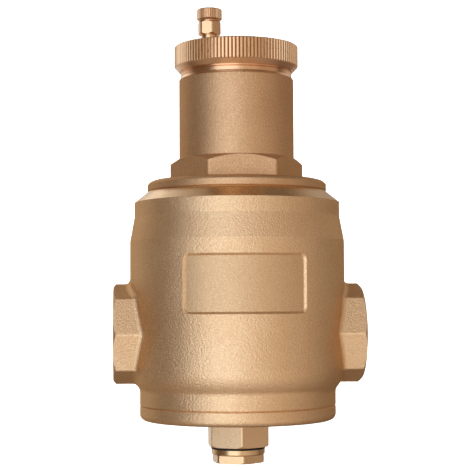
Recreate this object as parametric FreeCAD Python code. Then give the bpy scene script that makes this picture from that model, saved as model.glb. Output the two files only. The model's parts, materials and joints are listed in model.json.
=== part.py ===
"""In-line air separator with an automatic float vent on top, in millimetres.

The vertical axis is Z, with z = 0 at the bottom face of the drain plug.  The two pipe ports lie
along X and the label panel faces -Y.
"""
import FreeCAD, Part
import math
import os

V = FreeCAD.Vector
X_AXIS = V(1, 0, 0)
Y_AXIS = V(0, 1, 0)
Z_AXIS = V(0, 0, 1)
ORIGIN = V(0, 0, 0)
TURN = 360.0

# ---- driving dimensions -------------------------------------------------------------------------
PORT_Z = 57.0                # height of the pipe axis
FACE_TO_FACE = 110.5         # over the two port faces
PORT_FLATS = 41.0            # octagon across flats
PORT_SIDES = 8
PORT_CHAMFER = 1.6           # turned chamfer on the octagon's corners
PORT_THREAD_R = 16.62        # 1 inch pipe thread, major radius
PORT_THREAD_LENGTH = 18.0
PORT_STOP_R = 13.5           # bore behind the thread
PORT_MOUTH_CHAMFER = 1.0
PORT_HUB_R = 20.0            # round hub inside the body
PORT_HUB_INNER_X = 33.0
PORT_EDGE_R = 1.2            # rounding of the octagon's long edges
PORT_FILLET = 2.5

BODY_R = 47.8
BODY_BAND_R = 45.8           # band above the taper
BODY_TOP_R = 39.9            # end of the turned chamfer under the flange
BODY_WALL = 3.2
BODY_BOTTOM_Z = 25.3
SKIRT_R = 43.5
SKIRT_TOP_Z = 31.3
SHOULDER_R = 14.7            # rounding between the skirt and the straight wall
SHOULDER_SWEEP = 39.8        # its angle from the horizontal, at the lower end
SHOULDER_TOP_Z = 43.0
TAPER_START_Z = 98.0
TAPER_END_Z = 108.7
BAND_TOP_Z = 115.2
BODY_TOP_Z = 120.0
JOINT_CHAMFER = 0.4

PANEL_BOTTOM_Z = 65.9
PANEL_TOP_Z = 91.3
PANEL_HALF_ANGLE = 33.0
PANEL_DEPTH = 1.0
PANEL_DRAFT = 0.9            # slope between the panel's walls and the body
PANEL_CORNER_R = 2.2

COVER_THREAD_R = 40.0        # bottom cover's thread
COVER_BOTTOM_Z = 18.9
COVER_EDGE_R = 2.7
COVER_FLOOR_Z = 23.2
COVER_SPIGOT_TOP_Z = 34.0
COVER_SPIGOT_INNER_R = 36.0
BOSS_FLATS = 25.4
BOSS_EDGE_R = 0.6            # rounding of its long edges
BOSS_BOTTOM_Z = 7.05
BOSS_CORNER_ANGLE = -87.5
HEX_SIDES = 6

DRAIN_THREAD_R = 10.48       # 1/2 inch pipe thread, major radius
THREAD_CLEARANCE = 0.08
PLUG_FLATS = 21.0
PLUG_R = 11.9
PLUG_COLLAR_Z = 3.5
PLUG_TOP_Z = 6.0
PLUG_SPIGOT_TOP_Z = 15.6
PLUG_HOLLOW_R = 7.0
PLUG_CORNER_ANGLE = 37.0
PLUG_CORNER_R = 1.5
PLUG_EDGE_R = 1.0

FLANGE_R = 40.0
FLANGE_EDGE_Z = 123.1
FLANGE_TOP_Z = 125.5
HEX_FLATS = 52.0
HEX_CORNER_ANGLE = 1.0
HEX_EDGE_R = 1.6             # rounding of the cast hexagon's long edges
HEX_TOP_Z = 132.2
CHAMBER_Z = 135.0
CHAMBER_R = 25.7
CHAMBER_TOP_Z = 170.6
CHAMBER_BORE_R = 22.6
CHAMBER_THREAD_R = 32.0
CHAMBER_SPIGOT_Z = 110.0
CHAMBER_SPIGOT_BORE_R = 24.0
NECK_R = 24.95
NECK_SHOULDER_Z = 171.7
NECK_TOP_Z = 181.4
NECK_BORE_R = 21.5
NECK_THREAD_PITCH = 1.5
NECK_THREAD_DEPTH = 0.45
NECK_THREAD_Z = 173.4
NECK_THREAD_TURNS = 5

TOP_COVER_R = 27.8
TOP_COVER_Z = 185.6
TOP_COVER_KNURL_Z = 176.3
TOP_COVER_SKIRT_Z = 174.2
TOP_COVER_SKIRT_R = 25.7
TOP_COVER_PLATE = 4.1
TOP_COVER_TEETH = 108
TOP_COVER_TOOTH_DEPTH = 0.55
KNURL_EDGE = 0.45
CREST_SHARE = 0.24           # half of the flat crest, as a share of the tooth pitch

NOZZLE_X = -12.0
NOZZLE_FLATS = 9.5
NOZZLE_CORNER_ANGLE = -20.0
NOZZLE_CORNER_R = 1.4
NOZZLE_HEX_Z = 191.1
NOZZLE_HEX_TOP_Z = 197.0
NOZZLE_NECK_R = 3.6
NOZZLE_FLANGE_R = 5.5
NOZZLE_FLANGE_TOP_Z = 187.3
NOZZLE_SPIGOT_R = 3.0
NOZZLE_SPIGOT_TOP_Z = 201.0
NOZZLE_THREAD_R = 3.95
NOZZLE_SEAT_Z = 177.6
NOZZLE_BORE_R = 0.9
NOZZLE_CHAMFER = 1.1

CAP_R = 5.65
CAP_SKIRT_R = 4.85
CAP_SKIRT_Z = 197.2
CAP_KNURL_Z = 197.5
CAP_TOP_Z = 202.8
CAP_ROOF_Z = 201.7
CAP_TEETH = 38
CAP_TOOTH_DEPTH = 0.28

LEVER_Z = 171.5              # height of the lever's pivot
PIVOT_X = -17.0
PIN_R = 1.0
RUNNING_CLEARANCE = 0.06
LEVER_THICKNESS = 1.2
LEVER_HALF_WIDTH = 3.0
LEVER_SLOT_HALF = 1.7
LEVER_TIP_X = 4.2
HOLDER_SLOT_REACH = 0.6      # half the travel each slot leaves along the lever
STEM_SLOT_REACH = 1.4
EYE_R = 1.9                  # lever's rolled eye and the pin's clips
BRACKET_SHEET = 0.8
BRACKET_GAP_HALF = 3.3       # between the lever's middle plane and an ear
BRACKET_PLATE_HALF_Y = 6.5
BRACKET_RIGHT_X = 2.0
BRACKET_ROUND_R = 20.4
BRACKET_EAR_HALF_X = 2.3
BRACKET_SCREW_X = -3.5
BRACKET_SCREW_Y = 4.2
SCREW_R = 1.5
SCREW_HEAD_R = 2.4
SCREW_HEAD = 1.6
SCREW_DEPTH = 3.0

STEM_R = 1.2
STEM_BOTTOM_Z = 110.5
STEM_TOP_Z = 175.5
FLOAT_R = 19.0
FLOAT_BOTTOM_Z = 130.0
FLOAT_TOP_Z = 163.0
FLOAT_EDGE_R = 4.0
CLIP_R = 2.6
CLIP_THICKNESS = 0.6
LEVER_CLIP_GAP = 1.3         # between the lever and each clip beside it

HOLDER_R = 2.0
HOLDER_WAIST_R = 1.3
HOLDER_GAP = 1.0
PAD_R = 1.7
PAD_THICKNESS = 1.0

GUIDE_R = 23.8
GUIDE_TOP_Z = 120.9
GUIDE_THICKNESS = 2.0
GUIDE_HUB_R = 3.6
GUIDE_HUB_HALF = 4.0
GUIDE_HOLES = 6
GUIDE_HOLE_R = 4.2
GUIDE_HOLE_CIRCLE_R = 14.0
RETAINER_R = 24.7
RETAINER_INNER_R = 22.0
RETAINER_THICKNESS = 1.2
RETAINER_OPENING_DEG = 36.0

CHAMBER_ORING_R = 34.1
COVER_ORING_R = 41.45
TOP_ORING_R = 23.15
NOZZLE_ORING_R = 4.5
LARGE_ORING_SECTION = 0.85   # section radius
SEAL_GAP = 0.01              # between a seal and the face that presses it
GROOVE_DEPTH = 1.75
GROOVE_HALF = 1.05
TOP_ORING_SECTION = 0.66
NOZZLE_ORING_SECTION = 0.45
NOZZLE_GROOVE_HALF = 0.6

CAGE_R = 30.8
CAGE_TOP_Z = 109.8
CAGE_RING = 3.6
CAGE_RIBS = 6
CAGE_RIB_INNER_R = 28.7
CAGE_RIB_HALF_WIDTH = 1.1
CAGE_HUB_R = 11.0
CAGE_SPOKE_HALF_WIDTH = 1.6
CAGE_LUG_R = 4.0
MESH_THICKNESS = 0.6
MESH_RADII = {"mesh_outer": 27.8, "mesh_middle": 20.8, "mesh_inner": 13.6}


# ---- helpers ------------------------------------------------------------------------------------
def outline_face(start, *steps):
    """Face in the XZ plane; a step is a point, or an arc given as (point on the arc, end)."""
    edges = []
    here = V(start[0], 0, start[1])
    for step in steps + (start,):
        if isinstance(step[0], tuple):
            middle = V(step[0][0], 0, step[0][1])
            end = V(step[1][0], 0, step[1][1])
            edges.append(Part.Arc(here, middle, end).toShape())
        else:
            end = V(step[0], 0, step[1])
            edges.append(Part.LineSegment(here, end).toShape())
        here = end
    return Part.Face(Part.Wire(edges))


def turned(start, *steps):
    """Solid of revolution about Z of an outline given as (radius, height)."""
    return outline_face(start, *steps).revolve(ORIGIN, Z_AXIS, TURN)


def tube(inner_r, outer_r, z_low, z_high):
    """Ring with a square section."""
    return turned((inner_r, z_low), (outer_r, z_low), (outer_r, z_high), (inner_r, z_high))


def rod(radius, z_low, z_high, x=0.0, y=0.0):
    """Upright cylinder."""
    return Part.makeCylinder(radius, z_high - z_low, V(x, y, z_low))


def rod_y(radius, half_length, x, z):
    """Cylinder along Y, centred on the XZ plane."""
    return Part.makeCylinder(radius, 2 * half_length, V(x, -half_length, z), Y_AXIS)


def block(x_low, x_high, y_low, y_high, z_low, z_high):
    """Box between two corners."""
    return Part.makeBox(x_high - x_low, y_high - y_low, z_high - z_low, V(x_low, y_low, z_low))


def polar(radius, degrees, z=0.0):
    """Point at a radius and an angle from +X."""
    angle = math.radians(degrees)
    return V(radius * math.cos(angle), radius * math.sin(angle), z)


def prism(points, height):
    """Upright prism on a closed polygon."""
    return Part.Face(Part.makePolygon(points + points[:1])).extrude(V(0, 0, height))


def regular_prism(sides, flats, z_low, z_high, corner_angle):
    """Regular prism with one corner at an angle from +X."""
    corner_r = flats / 2 / math.cos(math.pi / sides)
    points = [polar(corner_r, corner_angle + i * TURN / sides, z_low) for i in range(sides)]
    return prism(points, z_high - z_low)


def rounded_prism(sides, flats, z_low, z_high, corner_angle, edge_r):
    """Regular prism whose long edges are rounded."""
    solid = regular_prism(sides, flats, z_low, z_high, corner_angle)
    long_edges = [edge for edge in solid.Edges if edge.BoundBox.ZLength > edge_r]
    return solid.makeFillet(edge_r, long_edges)


def knurled_prism(radius, teeth, depth, z_low, z_high):
    """Prism with straight grooves cut along it and flat crests between them."""
    pitch = TURN / teeth
    points = []
    for i in range(teeth):
        points.append(polar(radius, (i - CREST_SHARE) * pitch, z_low))
        points.append(polar(radius, (i + CREST_SHARE) * pitch, z_low))
        points.append(polar(radius - depth, (i + 0.5) * pitch, z_low))
    return prism(points, z_high - z_low)


def corner_radius(sides, flats):
    """Distance from the middle of a regular polygon to its corners."""
    return flats / 2 / math.cos(math.pi / sides)


def o_ring(middle_r, section_r, z):
    """Torus about Z."""
    return Part.makeTorus(middle_r, section_r, V(0, 0, z))


def seal_groove(middle_r, top_z):
    """Cutter for the groove of a large seal under a flat face."""
    return tube(middle_r - GROOVE_HALF, middle_r + GROOVE_HALF, top_z - GROOVE_DEPTH, top_z)


def placed(shape, x):
    """Copy moved along X."""
    copy = shape.copy()
    copy.translate(V(x, 0, 0))
    return copy


# ---- separator body -----------------------------------------------------------------------------
def shoulder_point(degrees):
    """Point on the shoulder's rounding, by its angle below the horizontal."""
    angle = math.radians(degrees)
    return (BODY_R - SHOULDER_R * (1 - math.cos(angle)), SHOULDER_TOP_Z - SHOULDER_R * math.sin(angle))


def body_outside():
    """Outer form of the round body, filled in."""
    return turned(
        (0, BODY_BOTTOM_Z),
        (SKIRT_R - JOINT_CHAMFER, BODY_BOTTOM_Z),
        (SKIRT_R, BODY_BOTTOM_Z + JOINT_CHAMFER),
        (SKIRT_R, SKIRT_TOP_Z),
        ((SKIRT_R + 0.25, SKIRT_TOP_Z + 1.3), shoulder_point(SHOULDER_SWEEP)),
        (shoulder_point(SHOULDER_SWEEP / 2), (BODY_R, SHOULDER_TOP_Z)),
        (BODY_R, TAPER_START_Z),
        (BODY_BAND_R, TAPER_END_Z),
        (BODY_BAND_R, BAND_TOP_Z),
        (BODY_TOP_R, BODY_TOP_Z),
        (0, BODY_TOP_Z),
    )


def body_inside():
    """Cavity of the body with both threaded openings."""
    cavity_r = BODY_R - BODY_WALL
    return turned(
        (0, BODY_BOTTOM_Z),
        (COVER_THREAD_R, BODY_BOTTOM_Z),
        (COVER_THREAD_R, COVER_SPIGOT_TOP_Z + 2),
        (cavity_r, COVER_SPIGOT_TOP_Z + 8),
        (cavity_r, TAPER_START_Z - 3),
        (CHAMBER_THREAD_R, CHAMBER_SPIGOT_Z - 1),
        (CHAMBER_THREAD_R, BODY_TOP_Z),
        (0, BODY_TOP_Z),
    )


def port_stub(side):
    """Octagonal end with its corners turned off, from the face to the middle of the body."""
    half = FACE_TO_FACE / 2
    corner_r = corner_radius(PORT_SIDES, PORT_FLATS)
    octagon = rounded_prism(PORT_SIDES, PORT_FLATS, 0, half, 0, PORT_EDGE_R)
    turning = turned(
        (0, 0),
        (corner_r + 1, 0),
        (corner_r + 1, half - PORT_CHAMFER - 0.4),
        (corner_r - PORT_CHAMFER, half),
        (0, half),
    )
    stub = octagon.common(turning)
    stub.rotate(ORIGIN, Y_AXIS, 90 * side)
    stub.translate(V(0, 0, PORT_Z))
    return stub


def port_cylinder(side, radius, x_inner, x_outer):
    """Cylinder on the pipe axis between two distances from the middle."""
    start = V(side * x_inner, 0, PORT_Z)
    return Part.makeCylinder(radius, x_outer - x_inner, start, X_AXIS * side)


def panel_recess():
    """Cutter for the sunken label panel, which follows the round body."""
    low = PANEL_BOTTOM_Z + PANEL_DRAFT
    high = PANEL_TOP_Z - PANEL_DRAFT
    floor_r = BODY_R - PANEL_DEPTH
    outer_r = BODY_R + 2 * PANEL_DEPTH
    half_angle = PANEL_HALF_ANGLE - math.degrees(PANEL_DRAFT / BODY_R)
    face = outline_face((floor_r, low), (outer_r, low), (outer_r, high), (floor_r, high))
    sector = face.revolve(ORIGIN, Z_AXIS, 2 * half_angle)
    sector.rotate(ORIGIN, Z_AXIS, -90 - half_angle)
    flat_edges = [edge for edge in sector.Edges if edge.BoundBox.ZLength < PANEL_DEPTH / 2]
    corners = [edge for edge in flat_edges if edge.Length < 4 * PANEL_DEPTH]
    return sector.makeFillet(PANEL_CORNER_R, corners)


def panel_rim(solid):
    """Edges around the panel on the body's outer surface."""
    rim = []
    for edge in solid.Edges:
        middle = (edge.FirstParameter + edge.LastParameter) / 2
        points = [edge.valueAt(t) for t in (edge.FirstParameter, middle, edge.LastParameter)]
        on_wall = all(abs(math.hypot(point.x, point.y) - BODY_R) < 0.001 for point in points)
        in_panel = all(PANEL_BOTTOM_Z < point.z < PANEL_TOP_Z and point.y < 0 for point in points)
        if on_wall and in_panel:
            rim.append(edge)
    return rim


def port_root_edges(solid):
    """Edges where the octagonal ends meet the round body."""
    found = []
    reach = corner_radius(PORT_SIDES, PORT_FLATS) + 0.5
    for edge in solid.Edges:
        box = edge.BoundBox
        inside = max(abs(box.YMin), abs(box.YMax), box.ZMax - PORT_Z, PORT_Z - box.ZMin) < reach
        distance = max(abs(box.XMin), abs(box.XMax))
        near = min(abs(box.XMin), abs(box.XMax))
        if inside and near > BODY_R * 0.8 and distance < BODY_R + 0.5:
            found.append(edge)
    return found


def separator_body():
    """Cast body with the two ports, the label panel and the seal groove on top."""
    solid = body_outside().cut(panel_recess())
    solid = solid.makeChamfer(PANEL_DRAFT, panel_rim(solid))
    for side in (-1, 1):
        solid = solid.fuse(port_stub(side))
    solid = solid.removeSplitter()
    solid = solid.makeFillet(PORT_FILLET, port_root_edges(solid))
    solid = solid.cut(body_inside())
    half = FACE_TO_FACE / 2
    thread_end = half - PORT_THREAD_LENGTH
    for side in (-1, 1):
        hub = port_cylinder(side, PORT_HUB_R, PORT_HUB_INNER_X, BODY_R - BODY_WALL / 2)
        solid = solid.fuse(hub.common(body_outside()))
        solid = solid.cut(port_cylinder(side, PORT_STOP_R, PORT_HUB_INNER_X - 1, half))
        solid = solid.cut(port_cylinder(side, PORT_THREAD_R, thread_end, half))
        mouth = V(side * (half - PORT_MOUTH_CHAMFER), 0, PORT_Z)
        mouth_r = PORT_THREAD_R + PORT_MOUTH_CHAMFER
        cone = Part.makeCone(PORT_THREAD_R, mouth_r, PORT_MOUTH_CHAMFER, mouth, X_AXIS * side)
        solid = solid.cut(cone)
    return solid.cut(seal_groove(CHAMBER_ORING_R, BODY_TOP_Z))


def vent_chamber_oring():
    """Seal between the vent chamber's flange and the body."""
    return o_ring(CHAMBER_ORING_R, LARGE_ORING_SECTION, BODY_TOP_Z - LARGE_ORING_SECTION - SEAL_GAP)


# ---- bottom cover and drain ---------------------------------------------------------------------
def bottom_cover():
    """Screwed bottom cover with the hexagonal drain boss."""
    top_z = BODY_BOTTOM_Z
    edge = COVER_EDGE_R
    corner = edge * (1 - math.sqrt(0.5))
    plate = turned(
        (0, COVER_BOTTOM_Z),
        (SKIRT_R - edge, COVER_BOTTOM_Z),
        ((SKIRT_R - corner, COVER_BOTTOM_Z + corner), (SKIRT_R, COVER_BOTTOM_Z + edge)),
        (SKIRT_R, top_z - JOINT_CHAMFER),
        (SKIRT_R - JOINT_CHAMFER, top_z),
        (COVER_THREAD_R - THREAD_CLEARANCE, top_z),
        (COVER_THREAD_R - THREAD_CLEARANCE, COVER_SPIGOT_TOP_Z),
        (COVER_SPIGOT_INNER_R, COVER_SPIGOT_TOP_Z),
        (COVER_SPIGOT_INNER_R, COVER_FLOOR_Z),
        (0, COVER_FLOOR_Z),
    )
    boss_r = corner_radius(HEX_SIDES, BOSS_FLATS)
    boss = rounded_prism(HEX_SIDES, BOSS_FLATS, BOSS_BOTTOM_Z, COVER_FLOOR_Z - 1, BOSS_CORNER_ANGLE,
                         BOSS_EDGE_R)
    boss = boss.common(turned(
        (0, BOSS_BOTTOM_Z),
        (boss_r - 1.3, BOSS_BOTTOM_Z),
        (boss_r + 0.3, BOSS_BOTTOM_Z + 1.2),
        (boss_r + 0.3, COVER_FLOOR_Z),
        (0, COVER_FLOOR_Z),
    ))
    solid = plate.fuse(boss)
    solid = solid.cut(rod(DRAIN_THREAD_R, BOSS_BOTTOM_Z, COVER_FLOOR_Z))
    return solid.cut(seal_groove(COVER_ORING_R, top_z)).removeSplitter()


def bottom_cover_oring():
    """Seal between the bottom cover and the body."""
    return o_ring(COVER_ORING_R, LARGE_ORING_SECTION, BODY_BOTTOM_Z - LARGE_ORING_SECTION - SEAL_GAP)


def drain_plug():
    """Hexagonal plug with a turned collar and a hollow threaded spigot."""
    head = rounded_prism(HEX_SIDES, PLUG_FLATS, 0, PLUG_COLLAR_Z, PLUG_CORNER_ANGLE, PLUG_CORNER_R)
    edge = PLUG_EDGE_R
    corner = edge * (1 - math.sqrt(0.5))
    head = head.common(turned(
        (0, 0),
        (PLUG_R - edge, 0),
        ((PLUG_R - corner, corner), (PLUG_R, edge)),
        (PLUG_R, PLUG_COLLAR_Z),
        (0, PLUG_COLLAR_Z),
    ))
    thread_r = DRAIN_THREAD_R - THREAD_CLEARANCE
    upper = turned(
        (0, PLUG_COLLAR_Z),
        (PLUG_R - 0.5, PLUG_COLLAR_Z),
        (PLUG_R, PLUG_COLLAR_Z + 0.5),
        (PLUG_R, PLUG_TOP_Z),
        (thread_r - 1, PLUG_TOP_Z),
        (thread_r - 1, PLUG_TOP_Z + 1.5),
        (thread_r, PLUG_TOP_Z + 2.2),
        (thread_r, PLUG_SPIGOT_TOP_Z - 1),
        (thread_r - 1, PLUG_SPIGOT_TOP_Z),
        (PLUG_HOLLOW_R, PLUG_SPIGOT_TOP_Z),
        (PLUG_HOLLOW_R, PLUG_TOP_Z),
        (0, PLUG_TOP_Z - 1),
    )
    return head.fuse(upper).removeSplitter()


def drain_plug_seal():
    """Flat seal ring between the plug's collar and the boss."""
    inner_r = DRAIN_THREAD_R - 0.6
    low = PLUG_TOP_Z
    high = BOSS_BOTTOM_Z
    middle = (low + high) / 2
    return turned((inner_r, low), (PLUG_R - 0.1, low), ((PLUG_R + 0.15, middle), (PLUG_R - 0.1, high)),
                  (inner_r, high))


# ---- vent chamber -------------------------------------------------------------------------------
def vent_chamber():
    """Float chamber with its flange, spanner hexagon, threaded neck and lower spigot."""
    spigot_r = CHAMBER_THREAD_R - THREAD_CLEARANCE
    flange = turned(
        (0, CHAMBER_SPIGOT_Z),
        (spigot_r, CHAMBER_SPIGOT_Z),
        (spigot_r, BODY_TOP_Z),
        (FLANGE_R - 0.5, BODY_TOP_Z),
        (FLANGE_R, BODY_TOP_Z + 0.6),
        (FLANGE_R, FLANGE_EDGE_Z),
        ((FLANGE_R - 1.0, FLANGE_EDGE_Z + 1.1), (FLANGE_R - 3.4, FLANGE_EDGE_Z + 1.7)),
        (CHAMBER_R, FLANGE_TOP_Z),
        (0, FLANGE_TOP_Z),
    )
    hexagon = rounded_prism(HEX_SIDES, HEX_FLATS, FLANGE_EDGE_Z, CHAMBER_Z, HEX_CORNER_ANGLE,
                            HEX_EDGE_R)
    hex_r = corner_radius(HEX_SIDES, HEX_FLATS)
    hexagon = hexagon.common(turned(
        (0, FLANGE_EDGE_Z),
        (hex_r + 1, FLANGE_EDGE_Z),
        (hex_r + 1, HEX_TOP_Z - (CHAMBER_Z - HEX_TOP_Z) / (hex_r - CHAMBER_R)),
        (CHAMBER_R, CHAMBER_Z),
        (0, CHAMBER_Z),
    ))
    barrel = turned(
        (0, FLANGE_EDGE_Z),
        (CHAMBER_R, FLANGE_EDGE_Z),
        (CHAMBER_R, CHAMBER_TOP_Z - 0.3),
        (CHAMBER_R - 0.3, CHAMBER_TOP_Z),
        (NECK_R, NECK_SHOULDER_Z),
        (NECK_R, NECK_TOP_Z),
        (0, NECK_TOP_Z),
    )
    solid = flange.fuse([hexagon, barrel])
    for i in range(NECK_THREAD_TURNS):
        z = NECK_THREAD_Z + i * NECK_THREAD_PITCH
        half = NECK_THREAD_PITCH / 2
        solid = solid.cut(turned((NECK_R + 1, z - half), (NECK_R + 1, z + half),
                                 (NECK_R - NECK_THREAD_DEPTH, z)))
    solid = solid.cut(turned(
        (0, CHAMBER_SPIGOT_Z),
        (CHAMBER_SPIGOT_BORE_R, CHAMBER_SPIGOT_Z),
        (CHAMBER_SPIGOT_BORE_R, GUIDE_TOP_Z),
        (CHAMBER_BORE_R, GUIDE_TOP_Z),
        (CHAMBER_BORE_R, CHAMBER_TOP_Z - 3),
        (NECK_BORE_R, CHAMBER_TOP_Z - 1),
        (NECK_BORE_R, NECK_TOP_Z),
        (0, NECK_TOP_Z),
    ))
    retainer_top = GUIDE_TOP_Z - GUIDE_THICKNESS
    solid = solid.cut(tube(CHAMBER_SPIGOT_BORE_R - 1, RETAINER_R + 0.1,
                           retainer_top - RETAINER_THICKNESS, retainer_top))
    return solid.cut(tube(TOP_ORING_R - 0.8, TOP_ORING_R + 0.8, NECK_TOP_Z - 1.35, NECK_TOP_Z))


def top_cover_oring():
    """Seal between the chamber's neck and the top cover."""
    return o_ring(TOP_ORING_R, TOP_ORING_SECTION, NECK_TOP_Z - TOP_ORING_SECTION - SEAL_GAP)


def float_guide():
    """Perforated disc with the bushing that guides the float's stem."""
    low = GUIDE_TOP_Z - GUIDE_THICKNESS
    middle = low + GUIDE_THICKNESS / 2
    solid = rod(GUIDE_R, low, GUIDE_TOP_Z)
    solid = solid.fuse(rod(GUIDE_HUB_R, middle - GUIDE_HUB_HALF, middle + GUIDE_HUB_HALF))
    solid = solid.cut(rod(STEM_R + RUNNING_CLEARANCE, middle - GUIDE_HUB_HALF, middle + GUIDE_HUB_HALF))
    for i in range(GUIDE_HOLES):
        centre = polar(GUIDE_HOLE_CIRCLE_R, i * TURN / GUIDE_HOLES)
        solid = solid.cut(rod(GUIDE_HOLE_R, low, GUIDE_TOP_Z, centre.x, centre.y))
    return solid


def guide_retaining_ring():
    """Open spring ring that holds the float guide in the chamber's spigot."""
    high = GUIDE_TOP_Z - GUIDE_THICKNESS
    low = high - RETAINER_THICKNESS
    face = outline_face((RETAINER_INNER_R, low), (RETAINER_R, low), (RETAINER_R, high),
                        (RETAINER_INNER_R, high))
    ring = face.revolve(ORIGIN, Z_AXIS, TURN - RETAINER_OPENING_DEG)
    ring.rotate(ORIGIN, Z_AXIS, 90 + RETAINER_OPENING_DEG / 2)
    return ring


# ---- top cover and nozzle -----------------------------------------------------------------------
def top_cover():
    """Knurled screw cover with holes for the nozzle and the bracket's screws."""
    plate_z = TOP_COVER_Z - TOP_COVER_PLATE
    form = turned(
        (0, TOP_COVER_SKIRT_Z),
        (TOP_COVER_SKIRT_R, TOP_COVER_SKIRT_Z),
        (TOP_COVER_R, TOP_COVER_KNURL_Z + 0.2),
        (TOP_COVER_R, TOP_COVER_Z - KNURL_EDGE),
        (TOP_COVER_R - KNURL_EDGE, TOP_COVER_Z),
        (0, TOP_COVER_Z),
    )
    knurl = knurled_prism(TOP_COVER_R, TOP_COVER_TEETH, TOP_COVER_TOOTH_DEPTH,
                          TOP_COVER_SKIRT_Z, TOP_COVER_Z)
    solid = form.common(knurl)
    solid = solid.cut(rod(NECK_R + THREAD_CLEARANCE, TOP_COVER_SKIRT_Z, plate_z))
    solid = solid.cut(rod(NOZZLE_THREAD_R, plate_z, TOP_COVER_Z, NOZZLE_X))
    groove_r = NOZZLE_ORING_R + NOZZLE_GROOVE_HALF
    groove_low = TOP_COVER_Z - 2 * NOZZLE_ORING_SECTION
    solid = solid.cut(rod(groove_r, groove_low, TOP_COVER_Z, NOZZLE_X))
    for sign in (-1, 1):
        y = sign * BRACKET_SCREW_Y
        solid = solid.cut(rod(SCREW_R, plate_z, plate_z + SCREW_DEPTH, BRACKET_SCREW_X, y))
    return solid


def nozzle_oring():
    """Seal under the nozzle's flange."""
    ring = o_ring(NOZZLE_ORING_R, NOZZLE_ORING_SECTION, TOP_COVER_Z - NOZZLE_ORING_SECTION)
    return placed(ring, NOZZLE_X)


def vent_nozzle():
    """Discharge nozzle with its spanner hexagon, valve seat below and cap spigot above."""
    chamfer = NOZZLE_CHAMFER
    flats_r = NOZZLE_FLATS / 2
    hex_r = corner_radius(HEX_SIDES, NOZZLE_FLATS)
    hexagon = rounded_prism(HEX_SIDES, NOZZLE_FLATS, NOZZLE_HEX_Z, NOZZLE_HEX_TOP_Z,
                            NOZZLE_CORNER_ANGLE, NOZZLE_CORNER_R)
    hexagon = hexagon.common(turned(
        (0, NOZZLE_HEX_Z),
        (flats_r, NOZZLE_HEX_Z),
        (hex_r + 0.1, NOZZLE_HEX_Z + chamfer),
        (hex_r + 0.1, NOZZLE_HEX_TOP_Z - chamfer),
        (flats_r, NOZZLE_HEX_TOP_Z),
        (0, NOZZLE_HEX_TOP_Z),
    ))
    stem = turned(
        (NOZZLE_BORE_R, NOZZLE_SEAT_Z),
        (NOZZLE_BORE_R + 0.7, NOZZLE_SEAT_Z),
        (NOZZLE_BORE_R + 1.6, NOZZLE_SEAT_Z + 1.2),
        (NOZZLE_THREAD_R - 0.5, NOZZLE_SEAT_Z + 1.2),
        (NOZZLE_THREAD_R - 0.05, NOZZLE_SEAT_Z + 1.7),
        (NOZZLE_THREAD_R - 0.05, TOP_COVER_Z),
        (NOZZLE_FLANGE_R, TOP_COVER_Z),
        (NOZZLE_FLANGE_R, NOZZLE_FLANGE_TOP_Z - 0.3),
        (NOZZLE_FLANGE_R - 0.3, NOZZLE_FLANGE_TOP_Z),
        (NOZZLE_NECK_R, NOZZLE_FLANGE_TOP_Z),
        (NOZZLE_NECK_R, NOZZLE_HEX_Z + 1),
        (NOZZLE_SPIGOT_R, NOZZLE_HEX_Z + 2),
        (NOZZLE_SPIGOT_R, NOZZLE_SPIGOT_TOP_Z - 0.3),
        (NOZZLE_SPIGOT_R - 0.3, NOZZLE_SPIGOT_TOP_Z),
        (NOZZLE_BORE_R, NOZZLE_SPIGOT_TOP_Z),
    )
    hexagon = hexagon.cut(rod(NOZZLE_SPIGOT_R - 0.5, NOZZLE_HEX_Z, NOZZLE_HEX_TOP_Z))
    return placed(stem.fuse(hexagon).removeSplitter(), NOZZLE_X)


def vent_cap():
    """Knurled hand cap that screws down on the nozzle's spigot."""
    bore_r = NOZZLE_SPIGOT_R + THREAD_CLEARANCE
    form = turned(
        (0, CAP_SKIRT_Z),
        (CAP_SKIRT_R, CAP_SKIRT_Z),
        (CAP_SKIRT_R, CAP_KNURL_Z),
        (CAP_R, CAP_KNURL_Z + 0.8),
        (CAP_R, CAP_TOP_Z - KNURL_EDGE),
        (CAP_R - KNURL_EDGE, CAP_TOP_Z),
        (0, CAP_TOP_Z),
    )
    knurl = knurled_prism(CAP_R, CAP_TEETH, CAP_TOOTH_DEPTH, CAP_SKIRT_Z, CAP_TOP_Z)
    return placed(form.common(knurl).cut(rod(bore_r, CAP_SKIRT_Z, CAP_ROOF_Z)), NOZZLE_X)


def vent_cap_seal():
    """Rubber disc inside the cap that closes the nozzle's bore."""
    return rod(NOZZLE_SPIGOT_R - 0.2, NOZZLE_SPIGOT_TOP_Z, CAP_ROOF_Z, NOZZLE_X)


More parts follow.
